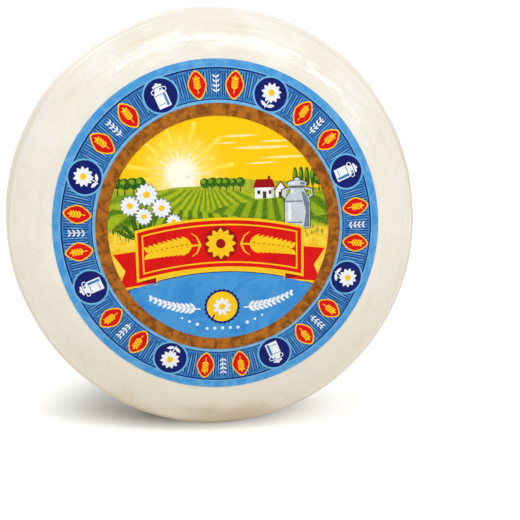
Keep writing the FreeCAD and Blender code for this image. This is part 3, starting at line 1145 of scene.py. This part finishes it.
@dataclass
class Plate:
    """All that one ink prints, cut flat and then laid on the crown as one piece."""

    crown: Crown
    name: str
    stencils: Sequence[Stencil]
    thickness: float = 0.03 * MM     # of a layer of ink
    level: float = 0.015 * MM        # how far a level of the print is above the one below
    cell: float = 4.0 * MM           # the grid that flat shapes are cut on before they are laid
    edge: float = 30.0               # degrees between two faces that keep a sharp edge
    sheet: bpy.types.Object = field(init=False)

    def _add_shape(self, outline: Outline, height: float) -> None:
        """Cuts a shape out of a many-sided blank by placing the blank's corners.

        Args:
            outline: The shape.
            height: How far it stands off the paper.
        """
        bpy.ops.mesh.primitive_circle_add(vertices=len(outline), radius=MM, fill_type="NGON",
                                          rotation=(math.pi / 2, 0.0, 0.0))
        shape = bmesh.from_edit_mesh(self.sheet.data)
        shape.verts.ensure_lookup_table()
        corners = shape.verts[-len(outline):]
        for corner, (u, v) in zip(corners, outline):
            corner.co = (u * MM, height, v * MM)
        corners[0].link_faces[0].normal_update()

    def _add_ring(self, inner: float, outer: float, middle: Place, corners: int,
                  height: float) -> None:
        """Bridges two circles.

        Args:
            inner: The inner circle's radius.
            outer: The outer circle's radius.
            middle: The middle of both.
            corners: How many corners each has.
            height: How far the ring stands off the paper.
        """
        bpy.ops.mesh.select_all(action="DESELECT")
        first = len(bmesh.from_edit_mesh(self.sheet.data).verts)
        for radius in (inner, outer):
            bpy.ops.mesh.primitive_circle_add(
                vertices=corners, radius=radius * MM, rotation=(math.pi / 2, 0.0, 0.0),
                location=(middle[0] * MM, height, middle[1] * MM))
        shape = bmesh.from_edit_mesh(self.sheet.data)
        shape.edges.ensure_lookup_table()
        for edge in shape.edges:
            if min(vertex.index for vertex in edge.verts) >= first:
                edge.select = True
        bmesh.update_edit_mesh(self.sheet.data)
        bpy.ops.mesh.bridge_edge_loops()

    def _add(self, copies: int) -> None:
        """Adds the stencils with this many copies and turns the copies into place.

        Args:
            copies: How many times the shapes stand on the sheet.
        """
        wanted = [stencil for stencil in self.stencils if stencil.copies == copies]
        for stencil in wanted:
            height = stencil.level * self.level
            for outline in stencil.shapes:
                self._add_shape(outline, height)
            for ring in stencil.rings:
                self._add_ring(*ring, height)
        if wanted and copies > 1:
            bpy.ops.mesh.select_all(action="SELECT")
            for _ in range(copies - 1):
                bpy.ops.mesh.duplicate()
                bpy.ops.transform.rotate(value=2 * math.pi / copies, orient_axis="Y",
                                         center_override=(0.0, 0.0, 0.0))

    def lay(self, material: bpy.types.Material, *replaced: str) -> None:
        """Cuts the flat shapes, lays them on the crown and gives them thickness and ink.

        Args:
            material: The ink.
            replaced: The CAD nodes that the piece stands for.
        """
        start_clean()
        bpy.ops.mesh.primitive_plane_add(size=MM)
        self.sheet = bpy.context.object
        self.sheet.name = self.sheet.data.name = self.name
        bpy.ops.object.mode_set(mode="EDIT")
        bpy.ops.mesh.delete(type="VERT")
        for copies in (4, 1):    # the repeated ones first, while they are alone on the sheet
            self._add(copies)
        bpy.ops.mesh.select_all(action="SELECT")
        bpy.ops.mesh.quads_convert_to_tris()
        reach = max(max(abs(v.co.x), abs(v.co.z))
                    for v in bmesh.from_edit_mesh(self.sheet.data).verts)
        lines = int(reach / self.cell)
        for normal in ((1.0, 0.0, 0.0), (0.0, 0.0, 1.0)):
            for line in range(-lines, lines + 1):
                bpy.ops.mesh.select_all(action="SELECT")
                bpy.ops.mesh.bisect(plane_co=Vector(normal) * line * self.cell,
                                    plane_no=normal)
        bpy.ops.object.mode_set(mode="OBJECT")
        self._bend()
        thick = self.sheet.modifiers.new("ink", "SOLIDIFY")
        thick.thickness = self.thickness
        thick.offset = -1.0
        bpy.ops.object.modifier_apply(modifier=thick.name)
        self.sheet.data.materials.append(material)
        bpy.ops.object.shade_smooth_by_angle(angle=math.radians(self.edge))
        join_frame(self.sheet, "label_paper", *replaced)

    def _bend(self) -> None:
        """Turns the flat sheet with the label and lays each of its points on the crown."""
        middle, mesh = self.crown.middle, self.sheet.data
        cos, sin = (f(math.radians(self.crown.turn)) for f in (math.cos, math.sin))
        for vertex in mesh.vertices:
            u, height, v = vertex.co
            across = (u * cos + v * sin) * (1 - self.crown.narrowing)
            place = Vector((middle.x + across, 0.0, middle.z - u * sin + v * cos))
            place.y = self.crown.front(place, height)
            vertex.co = place
        mesh.update()
        backward = [face for face in mesh.polygons if face.normal.y > 0]
        for face in backward:
            face.flip()
        mesh.update()


@dataclass
class Label:
    """The paper label: its paper, its border and its country picture, in millimetres."""

    effects: Effects
    crown: Crown = field(default_factory=Crown)
    picture: float = 62.9        # radius of the picture
    brown: float = 69.8          # outer radius of the brown ring
    under: float = 3.5           # how far the land goes on under the brown ring
    hatch: Span = (72.3, 88.6)   # where the hatching begins and ends
    orbit: float = 80.2          # radius that the border's motifs stand on
    # Where the motifs of a quarter of the border stand, in degrees clockwise from the top.
    lozenges: tuple[float, ...] = (7.5, 37.5, 52.5, 82.5)
    sprigs: tuple[float, ...] = (0.0, 45.0)
    daisy: float = 22.5
    churn: float = 67.5
    work: dict[Ink, list[Stencil]] = field(default_factory=dict)

    def printed(self, ink: Ink, level: int) -> Stencil:
        """Starts a stencil.

        Args:
            ink: The ink that prints it.
            level: Which step of the print's height above the paper it stands on.

        Returns:
            The empty stencil.
        """
        stencil = Stencil(level)
        self.work.setdefault(ink, []).append(stencil)
        return stencil

    # -- paper ---------------------------------------------------------------------

    def lay_paper(self) -> None:
        """Lays the paper itself, a thin disc, with its blue ground."""
        reach = self.crown.reach / MM
        disc = Stencil(0).cut(oval((0.0, 0.0), reach, reach, 240))
        paper = Plate(self.crown, "label_paper", [disc], self.crown.thickness)
        paper.lay(Ink.BAND.value.mix(self.effects, self.crown.middle), "label")

    # -- border --------------------------------------------------------------------

    def print_border(self) -> None:
        """Prints the border: its hatching, lines, lozenges, sprigs and medallions."""
        inner, outer = self.hatch
        self.printed(Ink.HATCH_BED, 1).ring(inner, outer)
        self.print_hatching()
        (self.printed(Ink.RIM, 3).ring(outer + 0.75, outer + 1.35)
         .ring(self.brown, inner - 0.6))
        (self.printed(Ink.NAVY, 4).ring(outer - 0.1, outer + 0.75)
         .ring(inner - 0.75, inner - 0.15))
        self.print_lozenges()
        self.print_sprigs()
        self.print_medallions()

    def print_hatching(self) -> None:
        """Prints a quarter of the fine lines that cross the border and repeats it."""
        rng = random.Random(41)
        inner, outer = self.hatch
        dark = self.printed(Ink.HATCH, 2).repeat()
        pale = self.printed(Ink.HATCH_PALE, 2).repeat()
        step = 1.0
        count = int(90 / step)
        for i in range(count):
            angle = 90 * (i + 0.5) / count
            width = rng.uniform(0.32, 0.6)
            low = inner + rng.uniform(0.1, 1.6)
            high = outer - rng.uniform(0.1, 1.6)
            line = [(0.0, low), (0.0, (low + high) / 2), (0.0, high)]
            dark.cut(turned(stroke(line, width, width * 1.2), angle))
            if i % 2:
                half = step / 2
                line = [(0.0, low + 1.5), (0.0, (low + high) / 2), (0.0, high - 1.2)]
                pale.cut(turned(stroke(line, width * 0.7), angle + half))

    def print_lozenges(self) -> None:
        """Prints the red lozenges, their yellow rims and the ears of corn on them."""
        rim = self.printed(Ink.YELLOW, 5).repeat()
        red = self.printed(Ink.RED, 6).repeat()
        ears = self.printed(Ink.YELLOW, 7).repeat()

        def lozenge(wide: float, high: float) -> Outline:
            """Draws a lozenge with rounded sides at the top of the border.

            Args:
                wide: Half its width.
                high: Half its height.

            Returns:
                The outline.
            """
            corners, sharpness = 32, 1.35
            return [(wide * math.copysign(abs(math.cos(a)) ** sharpness, math.cos(a)),
                     self.orbit
                     + high * math.copysign(abs(math.sin(a)) ** sharpness, math.sin(a)))
                    for a in (2 * math.pi * i / corners for i in range(corners))]

        for angle in self.lozenges:
            rim.cut(turned(lozenge(5.4, 8.2), angle))
            red.cut(turned(lozenge(4.7, 7.3), angle))
            ears.cut(turned(stroke([(0.0, self.orbit - 4.8), (0.0, self.orbit + 2.2)], 0.5),
                            angle))
            for row in range(4):
                base = self.orbit - 2.4 + row * 1.55
                for side in (-1, 1):
                    ears.cut(turned(leaf((0.0, base), (side * 2.0, base + 2.0), 1.1, 4), angle))
            ears.cut(turned(leaf((0.0, self.orbit + 2.4), (0.0, self.orbit + 5.6), 1.3, 4),
                            angle))

    def print_sprigs(self) -> None:
        """Prints a small white sprig between each two lozenges."""
        sprigs = self.printed(Ink.WHITE, 5).repeat()
        for angle in self.sprigs:
            sprigs.cut(turned(stroke([(0.0, self.orbit - 6.0), (0.25, self.orbit),
                                      (0.0, self.orbit + 5.4)], 0.45), angle))
            for row in range(4):
                base = self.orbit - 4.4 + row * 2.6
                for side in (-1, 1):
                    sprigs.cut(turned(leaf((0.0, base), (side * 2.1, base + 1.7), 1.0, 4),
                                      angle))

    def print_medallions(self) -> None:
        """Prints the navy medallions, by turns with a daisy and a milk churn on them."""
        size, spot = 9.3, (0.0, self.orbit)
        rims, discs = self.printed(Ink.RIM, 8).repeat(), self.printed(Ink.NAVY, 9).repeat()
        for angle in (self.daisy, self.churn):
            rims.cut(turned(oval(spot, size + 1.0, size + 1.0, 48), angle))
            discs.cut(turned(oval(spot, size, size, 48), angle))

        motifs = self.printed(Ink.WHITE, 10).repeat()
        shades = self.printed(Ink.HATCH_BED, 11).repeat()
        for shape in self.daisy_petals((0.0, self.orbit + 1.0), 5.8, 11):
            motifs.cut(turned(shape, self.daisy))
        motifs.cut(turned(stroke([(0.3, self.orbit - 1.8), (0.0, self.orbit - 5.0),
                                  (-0.8, self.orbit - 8.0)], 0.6), self.daisy))
        for side in (-1, 1):
            motifs.cut(turned(leaf((-0.2, self.orbit - 7.2),
                                   (side * 4.2, self.orbit - 5.0), 1.9), self.daisy))
        self.printed(Ink.YELLOW, 11).repeat().cut(
            turned(oval((0.0, self.orbit + 1.0), 1.8, 1.8, 18), self.daisy))
        for shape in self.churn_outlines((0.0, self.orbit - 6.9), 0.45):
            motifs.cut(turned(shape, self.churn))
        for left, low, right, high in ((1.4, -6.3, 2.8, 1.0), (-3.0, -5.0, 1.0, -4.6),
                                       (-3.0, 0.4, 1.0, 0.8), (0.6, 2.8, 1.8, 3.8)):
            shades.cut(turned(rectangle(left, low + self.orbit, right, high + self.orbit),
                              self.churn))

    # -- motifs --------------------------------------------------------------------

    @staticmethod
    def daisy_petals(middle: Place, radius: float, count: int,
                     breadth: float = 0.42) -> list[Outline]:
        """Draws the petals of a daisy.

        Args:
            middle: The daisy's middle.
            radius: Its radius.
            count: How many petals it has.
            breadth: How broad each is, as a share of the radius.

        Returns:
            The petals' outlines.
        """
        petals = []
        for i in range(count):
            angle = 2 * math.pi * i / count
            way = Vector((math.sin(angle), math.cos(angle)))
            foot, tip = Vector(middle) + way * radius * 0.2, Vector(middle) + way * radius
            petals.append(leaf(tuple(foot), tuple(tip), radius * breadth, 6))
        return petals

    @staticmethod
    def churn_outlines(foot: Place, scale: float) -> list[Outline]:
        """Draws a milk churn as body, neck, lid and handles.

        Args:
            foot: The middle of its foot.
            scale: Its size against one that is 31 mm tall.

        Returns:
            The outlines of its parts.
        """
        side = [(7.6, 0.0), (8.0, 0.8), (8.0, 16.2), (7.4, 18.4), (5.4, 21.4), (4.6, 23.2),
                (4.6, 25.4)]
        body = side + [(-u, v) for u, v in side[::-1]]
        lid = [(5.6, 26.2), (6.0, 27.0), (5.8, 28.2), (3.4, 29.2), (-3.4, 29.2), (-5.8, 28.2),
               (-6.0, 27.0), (-5.6, 26.2)]
        knob = oval((0.0, 30.1), 1.9, 0.9, 12)
        handles = [stroke([(s * 7.3, 19.0), (s * 9.4, 20.4), (s * 9.2, 23.4), (s * 5.0, 24.6)],
                          1.1) for s in (-1, 1)]
        return [[(foot[0] + u * scale, foot[1] + v * scale) for u, v in part]
                for part in (body, lid, knob, *handles)]

    # -- picture -------------------------------------------------------------------

    def land(self, height: Callable[[float], float], steps: int = 60) -> Outline:
        """Draws the land below a skyline, out to just under the brown ring.

        Args:
            height: The skyline's height at each place from left to right.
            steps: How many parts the skyline has.

        Returns:
            The outline.
        """
        reach, bends = self.picture + self.under, 40
        top = [(u, v) for u, v in curve(height, -reach, reach, steps)
               if math.hypot(u, v) < reach]
        start, end = (math.atan2(p[1], p[0]) for p in (top[-1], top[0]))
        if end > 0:
            end -= 2 * math.pi
        arc = [(reach * math.cos(a), reach * math.sin(a))
               for a in (start + (end - start) * i / bends for i in range(1, bends))]
        return top + arc

    def print_picture(self) -> None:
        """Prints the country picture from the sky down to the blue panel."""
        self.printed(Ink.SKY, 1).cut(oval((0.0, 0.0), self.picture + 3, self.picture + 3, 120))
        self.print_sun(Ink.SKY.value.sun)
        self.printed(Ink.HAZE, 4).cut(self.land(
            lambda u: 25.5 + 2.6 * math.sin(u / 15 + 0.6) + 0.8 * math.sin(u / 5)))
        self.print_trees()
        for ink, level, skyline in (
                (Ink.FAR_FIELD, 6, lambda u: 21.0 + 1.8 * math.sin(u / 19 + 2.4)),
                (Ink.MID_FIELD, 8, lambda u: 14.0 + 4.2 * math.sin(u / 24 - 0.4)),
                (Ink.NEAR_FIELD, 9, lambda u: 8.5 + 3.6 * math.sin(u / 22 + 3.0))):
            self.printed(ink, level).cut(self.land(skyline))
        self.print_farm()
        self.print_meadow_edge()
        self.print_churn((44.5, -0.5))
        self.print_daisies((-43.0, 1.5))
        self.print_panel()
        self.print_banner()
        self.printed(Ink.RUST, 17).ring(self.picture, self.brown)

    def print_sun(self, sun: Place) -> None:
        """Prints the sun with its rays, and a few streaks of cloud.

        Args:
            sun: The sun's middle.
        """
        rays = self.printed(Ink.RAY, 2)
        for i in range(13):
            angle = -96 + 16 * i
            length = 30.0 if i % 2 else 21.0
            rays.cut(turned([(sun[0] - 0.4, sun[1] + 10.0), (sun[0] + 0.4, sun[1] + 10.0),
                             (sun[0] + 1.3, sun[1] + length), (sun[0] - 1.3, sun[1] + length)],
                            angle, sun))
        self.printed(Ink.SUN, 3).cut(oval(sun, 7.6, 7.6, 40))
        clouds = self.printed(Ink.CREAM, 2)
        for u, v, length, width in (
                (24, 45, 36, 1.7), (33, 48.4, 20, 1.0), (12, 51.5, 22, 1.2),
                (38, 39.5, 30, 1.3), (24, 36.4, 20, 0.9), (5, 47.6, 12, 0.8)):
            clouds.cut(leaf((u - length / 2, v), (u + length / 2, v + 0.6), width, 10))

    def print_trees(self) -> None:
        """Prints the trees along the far hill: round ones in clumps and slim poplars."""
        trunks, dark = self.printed(Ink.BARK, 5), self.printed(Ink.LEAF, 6)
        lit = self.printed(Ink.LEAF_LIT, 7)
        rng = random.Random(12)
        ground = 21.5
        trees = [(u, 2.9, 3.1) for u in (-60, -56.5, -52.5, -47.5, -43.5)]
        trees += [(u, 2.6, 2.7) for u in (-8, -4, 0.5, 4, 12)]
        trees += [(u, 1.5, 5.2) for u in (43.5, 47.0, 50.4, 53.9)]
        trees += [(8.0, 2.0, 2.2), (57.5, 3.2, 3.0), (61.5, 3.0, 2.6)]
        for u, wide, high in trees:
            foot = ground + rng.uniform(-0.3, 0.3)
            middle = (u, foot + 2.2 + high)
            trunks.cut(stroke([(u, foot - 1.5), (u, foot + 3.0)], 0.75, 0.5))
            dark.cut(oval(middle, wide, high, 20))
            for _ in range(3):
                spot = (middle[0] + rng.uniform(-0.5, 0.5) * wide,
                        middle[1] + rng.uniform(-0.45, 0.45) * high)
                dark.cut(oval(spot, wide * 0.66, high * 0.62, 14))
            lit.cut(oval((u - wide * 0.32, middle[1] + high * 0.3), wide * 0.5, high * 0.46,
                         14))

    def print_farm(self) -> None:
        """Prints a small farmhouse with its barn on the middle hill."""
        self.printed(Ink.WHITE, 7).cut(
            rectangle(20, 17, 31, 23.4),
            [(32, 17), (38, 17), (38, 22), (35, 25.6), (32, 22)])
        self.printed(Ink.STEEL, 8).cut(rectangle(29.4, 17, 31, 23.4),
                                       [(36.6, 17), (38, 17), (38, 22), (36.6, 23.8)])
        self.printed(Ink.DEEP_RED, 9).cut(
            [(19, 23.0), (31.8, 23.0), (30.2, 27.6), (20.8, 27.6)],
            stroke([(31.2, 21.4), (35, 26.1), (38.8, 21.4)], 0.9),
            rectangle(27.6, 27.4, 29.0, 29.4))
        self.printed(Ink.BARK, 9).cut(
            rectangle(24.6, 17, 26.6, 20.8), rectangle(21.4, 19.4, 23.2, 21.4),
            rectangle(28.0, 19.4, 29.4, 21.4), rectangle(33.8, 17, 36.2, 20.4))

    def print_meadow_edge(self) -> None:
        """Prints the ripe field in front, with blades that stand up before the green."""
        rng = random.Random(5)
        reach, step = self.picture + self.under, 0.5

        def ground(u: float) -> float:
            """The height of the ripe field's edge without its blades."""
            return 1.0 + 2.2 * math.sin(u / 20 + 1.2)

        heights: dict[float, float] = {}
        u = -reach
        while u < reach:
            heights[u] = ground(u)
            heights[u + step] = ground(u) + rng.uniform(0.8, 3.4)
            u += 2 * step
        self.printed(Ink.WHEAT, 10).cut(self.land(
            lambda u: heights[min(heights, key=lambda mark: abs(mark - u))],
            int(2 * reach / step)))
        tufts = self.printed(Ink.GROUND, 11)
        for _ in range(110):
            u = rng.uniform(-60, 60)
            base = ground(u) - rng.uniform(0.4, 6.0)
            tufts.cut(leaf((u, base), (u + rng.uniform(-0.9, 0.9),
                                       base + rng.uniform(2.4, 4.6)), 0.6, 3))

    def print_churn(self, foot: Place) -> None:
        """Prints the big milk churn in the field, with its shade and its shine.

        Args:
            foot: The middle of its foot.
        """
        parts = self.churn_outlines(foot, 0.92)
        waist, wider, taller = 12.6, 1.07, 1.035     # the dark edge round it
        self.printed(Ink.BARK, 12).cut(
            *[[(foot[0] + (u - foot[0]) * wider,
                foot[1] + waist + (v - foot[1] - waist) * taller) for u, v in part]
              for part in parts])
        self.printed(Ink.STEEL, 13).cut(*parts)
        shade = [[(3.6, 0.6), (6.9, 0.6), (7.0, 14.6), (6.2, 17.0), (3.9, 20.6), (2.6, 20.6)],
                 rectangle(-7.0, 3.0, 2.6, 3.7),
                 [(-6.9, 15.0), (2.8, 15.0), (2.8, 15.7), (-6.8, 15.7)],
                 rectangle(-4.1, 22.6, 4.1, 23.3),
                 [(2.0, 24.6), (4.9, 24.6), (4.6, 25.7), (2.0, 26.2)]]
        shine = [rectangle(-5.4, 4.4, -3.8, 14.4),
                 [(-3.4, 19.6), (-2.2, 20.0), (-2.2, 22.2), (-3.4, 22.2)],
                 [(-4.2, 24.8), (-1.6, 24.8), (-1.6, 25.8), (-4.0, 25.4)]]
        self.printed(Ink.STEEL_SHADE, 14).cut(*[moved(part, *foot) for part in shade])
        self.printed(Ink.WHITE, 14).cut(*[moved(part, *foot) for part in shine])

    def print_daisies(self, foot: Place) -> None:
        """Prints a clump of daisies: stems and leaves, petals and yellow eyes.

        Args:
            foot: Where the clump grows.
        """
        stems, outlines = self.printed(Ink.LEAF, 12), self.printed(Ink.STEEL_SHADE, 13)
        petals, eyes = self.printed(Ink.WHITE, 14), self.printed(Ink.YELLOW, 15)
        u, v = foot
        flowers = ((-7.0, 13.0, 5.6), (2.5, 19.0, 6.4), (10.5, 11.5, 5.6), (0.5, 7.0, 4.8),
                   (17.0, 4.0, 4.2))
        for right, up, size in flowers:
            head = (u + right, v + up)
            stems.cut(stroke([(u + right * 0.25, v - 5.5), (u + right * 0.7, v + up * 0.45),
                              head], 0.95, 0.6))
            outlines.cut(*self.daisy_petals(head, size + 0.35, 13, 0.5))
            petals.cut(*self.daisy_petals(head, size, 13))
            eyes.cut(oval(head, size * 0.31, size * 0.29, 18))
        for lean, length in ((-12, 8), (-7, 12), (-2, 9), (5, 11), (10, 8), (16, 6), (-16, 5)):
            stems.cut(leaf((u + lean * 0.3, v - 6.0), (u + lean, v - 5.0 + length), 2.4, 6))

    def print_panel(self) -> None:
        """Prints the blue panel at the foot, with its rosette and its white branches."""
        def edge(u: float) -> float:
            """The panel's top edge, an arch."""
            return -31.0 + 7.0 * (1 - (u / 46) ** 2)

        self.printed(Ink.YELLOW, 12).cut(self.land(lambda u: edge(u) + 1.3))
        self.printed(Ink.NAVY, 13).cut(self.land(lambda u: edge(u) + 0.5))
        self.printed(Ink.PANEL, 14).cut(self.land(edge))

        rosette = (0.0, -44.0)
        self.printed(Ink.NAVY, 15).cut(scallops(rosette, 10.4, 0.8, 24))
        self.printed(Ink.YELLOW, 16).ring(6.6, 8.8, rosette, 60)
        self.printed(Ink.WHITE, 17).cut(*self.daisy_petals(rosette, 5.6, 9))
        self.printed(Ink.YELLOW, 18).cut(oval(rosette, 1.8, 1.8, 18))

        branches = self.printed(Ink.WHITE, 15)
        for side in (-1, 1):
            path = [(side * (12.5 + 27.0 * t), -45.0 + 7.0 * t * t)
                    for t in (i / 10 for i in range(11))]
            branches.cut(stroke(path, 0.8, 0.4))
            for i, (u, v) in enumerate(path[1:]):
                size = 4.8 - 0.26 * i
                branches.cut(leaf((u, v), (u + side * size * 0.75, v + size * 0.8), 1.8, 5),
                             leaf((u, v), (u + side * size * 0.9, v - size * 0.55), 1.8, 5))
            branches.cut(oval((side * 14.5, -54.0), 1.0, 1.0, 12),
                         oval((side * 19.0, -52.2), 0.8, 0.8, 12),
                         oval((side * 23.2, -50.0), 0.65, 0.65, 12))
        branches.cut(*[oval((u, -56.8), 0.9, 0.9, 12) for u in (-9.0, -4.5, 0.0, 4.5, 9.0)])

    def print_banner(self) -> None:
        """Prints the bare red ribbon with its yellow edges, folded tails and ornament."""
        half, rise = 46.5, 6.0

        def spine(u: float) -> float:
            """The height of the ribbon's middle line."""
            return -13.6 + rise * (1 - (u / half) ** 2)

        def strip(reach: float, high: float) -> Outline:
            """Draws the ribbon between two ends, so high to each side of its middle line."""
            top = curve(lambda u: spine(u) + high, -reach, reach, 36)
            return top + [(u, spine(u) - high) for u, _ in top[::-1]]

        def tail(side: int, grow: float) -> Outline:
            """Draws one of the ribbon's swallow tails.

            Args:
                side: -1 for the left one and 1 for the right one.
                grow: How far it stands out beyond the red.

            Returns:
                The outline.
            """
            return [(side * (37 - grow), -9.5 + grow), (side * (60.6 + grow), -12.5 + grow),
                    (side * (54.0 - grow * 0.4), -22.0), (side * (58.4 + grow), -32.0 - grow),
                    (side * (37 - grow), -29.0 - grow)]

        self.printed(Ink.YELLOW, 14).cut(tail(-1, 0.9), tail(1, 0.9))
        self.printed(Ink.RED, 15).cut(tail(-1, 0.0), tail(1, 0.0))
        self.printed(Ink.DEEP_RED, 16).cut(
            *[[(side * 37.0, -29.1), (side * 47.6, -28.2), (side * 37.0, -20.0)]
              for side in (-1, 1)])
        for level, ink, reach, high in ((17, Ink.YELLOW, half + 1.4, 14.6),
                                        (18, Ink.RED, half, 13.1),
                                        (19, Ink.YELLOW, half - 2.3, 11.0),
                                        (20, Ink.RED, half - 3.1, 10.2)):
            self.printed(ink, level).cut(strip(reach, high))

        ears = self.printed(Ink.YELLOW, 21)
        for side in (-1, 1):
            path = [(side * (11.5 + 28.5 * t), spine(11.5 + 28.5 * t)) for t in
                    (i / 10 for i in range(11))]
            ears.cut(stroke(path, 1.0, 0.7))
            for i, (u, v) in enumerate(path[2:]):
                size = 6.4 - 0.28 * i
                for up in (-1, 1):
                    ears.cut(leaf((u - side, v), (u + side * size * 0.8, v + up * size * 0.86),
                                  2.7, 7))
            u, v = path[0]
            for up in (-1, 1):
                ears.cut(stroke([(u, v), (u + side * 2.0, v + up * 4.5),
                                 (u + side * 5.0, v + up * 6.6)], 1.1, 0.3))
        self.printed(Ink.DEEP_RED, 21).cut(oval((0.0, spine(0.0)), 9.6, 9.6, 48))
        self.printed(Ink.YELLOW, 22).cut(*self.daisy_petals((0.0, spine(0.0)), 8.8, 12))
        self.printed(Ink.DEEP_RED, 23).cut(oval((0.0, spine(0.0)), 2.7, 2.7, 24))

    def build(self) -> None:
        """Lays the paper and prints everything on it, one plate for each ink."""
        self.lay_paper()
        self.print_border()
        self.print_picture()
        for ink, stencils in self.work.items():
            Plate(self.crown, f"print_{ink.name.lower()}", stencils).lay(
                ink.value.mix(self.effects, self.crown.middle))


# --------------------------------------------------------------------------------------
# The studio
# --------------------------------------------------------------------------------------

@dataclass(frozen=True)
class Softbox:
    """A rectangular lamp that looks at the wheel's middle. Lengths are in metres."""

    name: str
    way: Triple                          # from the wheel's middle
    turn: float                          # about its own axis, in degrees
    length: float
    width: float
    power: float                         # in watts
    distance: float = 1.5


@dataclass
class Studio:
    """The floor, the lamps, the world and the camera."""

    wheel: CheeseWheel
    floor: FloorFinish = FloorFinish()
    floor_side: float = 8.0                      # of its square, in metres
    fill: float = 0.69                           # strength of the world's even light
    lens: float = 50.26                          # in millimetres
    eye: Triple = (-0.2037, -3.538, 0.351)       # in wheel radii from the wheel's middle
    target: Triple = (0.222, 0.0, -0.1942)
    roll: float = 0.5                            # in degrees
    softboxes: tuple[Softbox, ...] = (
        Softbox("lamp_left", (-0.284, -0.504, 0.816), 35.3, 0.62, 0.32, 4.2),
        Softbox("lamp_top", (0.195, -0.532, 0.824), -21.5, 0.74, 0.24, 2.9),
        Softbox("lamp_right", (0.62, -0.536, 0.573), -59.7, 0.60, 0.18, 1.5),
        Softbox("lamp_back", (-0.35, 0.75, 0.56), 0.0, 0.6, 0.3, 1.8),
    )

    def lay_floor(self) -> None:
        """Lays the floor under the wheel's foot, wide enough to fill every view."""
        start_clean()
        bpy.ops.mesh.primitive_plane_add(size=self.floor_side,
                                         location=(0.0, 0.0, self.wheel.low.z))
        floor = bpy.context.object
        floor.name = floor.data.name = "studio_floor"
        bpy.ops.object.transform_apply(location=True, rotation=True, scale=True)
        floor.data.materials.append(self.floor.mix())

    @staticmethod
    def look(way: Vector, roll: float) -> Euler:
        """Works out the rotation that looks along a way, rolled by some degrees."""
        upright = way.to_track_quat("-Z", "Y")
        return (upright @ Quaternion((0.0, 0.0, 1.0), math.radians(roll))).to_euler()

    def hang_lamps(self) -> None:
        """Hangs the softboxes."""
        for box in self.softboxes:
            data = bpy.data.lights.new(box.name, "AREA")
            data.shape = "RECTANGLE"
            data.size, data.size_y, data.energy = box.length, box.width, box.power
            lamp = bpy.data.objects.new(box.name, data)
            lamp.location = self.wheel.middle + Vector(box.way).normalized() * box.distance
            lamp.rotation_euler = self.look(-Vector(box.way), box.turn)
            bpy.context.scene.collection.objects.link(lamp)

    def light_world(self) -> None:
        """Sets the world's even light, which shows as plain white but fills less than that."""
        world = bpy.data.worlds.new("even_light")
        world.use_nodes = True
        bpy.context.scene.world = world
        graph = Graph(world.node_tree)
        ground = next(n for n in world.node_tree.nodes if n.type == "BACKGROUND")
        strength = graph.add("ShaderNodeMapRange", {0: graph.seen(), 1: 0.0, 2: 1.0,
                                                    3: self.fill, 4: 1.0}).outputs[0]
        graph.feed(ground.inputs["Color"], WHITE_LIGHT)
        graph.feed(ground.inputs["Strength"], strength)

    def place_camera(self) -> None:
        """Puts the camera at its eye point and turns it to its target."""
        radius, middle = self.wheel.radius, self.wheel.middle
        eye = middle + Vector(self.eye) * radius
        target = middle + Vector(self.target) * radius
        data = bpy.data.cameras.new("camera")
        data.lens = self.lens
        camera = bpy.data.objects.new("camera", data)
        camera.location = eye
        camera.rotation_euler = self.look(target - eye, self.roll)
        bpy.context.scene.collection.objects.link(camera)
        bpy.context.scene.camera = camera

    def build(self) -> None:
        """Sets up the whole studio."""
        self.lay_floor()
        self.hang_lamps()
        self.light_world()
        self.place_camera()
        bpy.context.scene.view_settings.view_transform = "Standard"


def main() -> None:
    """Builds the wheel, its label and the studio."""
    logging.basicConfig(level=logging.INFO, format="%(name)s: %(message)s")
    effects = Effects()
    wheel = CheeseWheel()
    wheel.build(effects)
    Label(effects).build()
    Studio(wheel).build()
    start_clean()


if __name__ == "__main__":
    main()
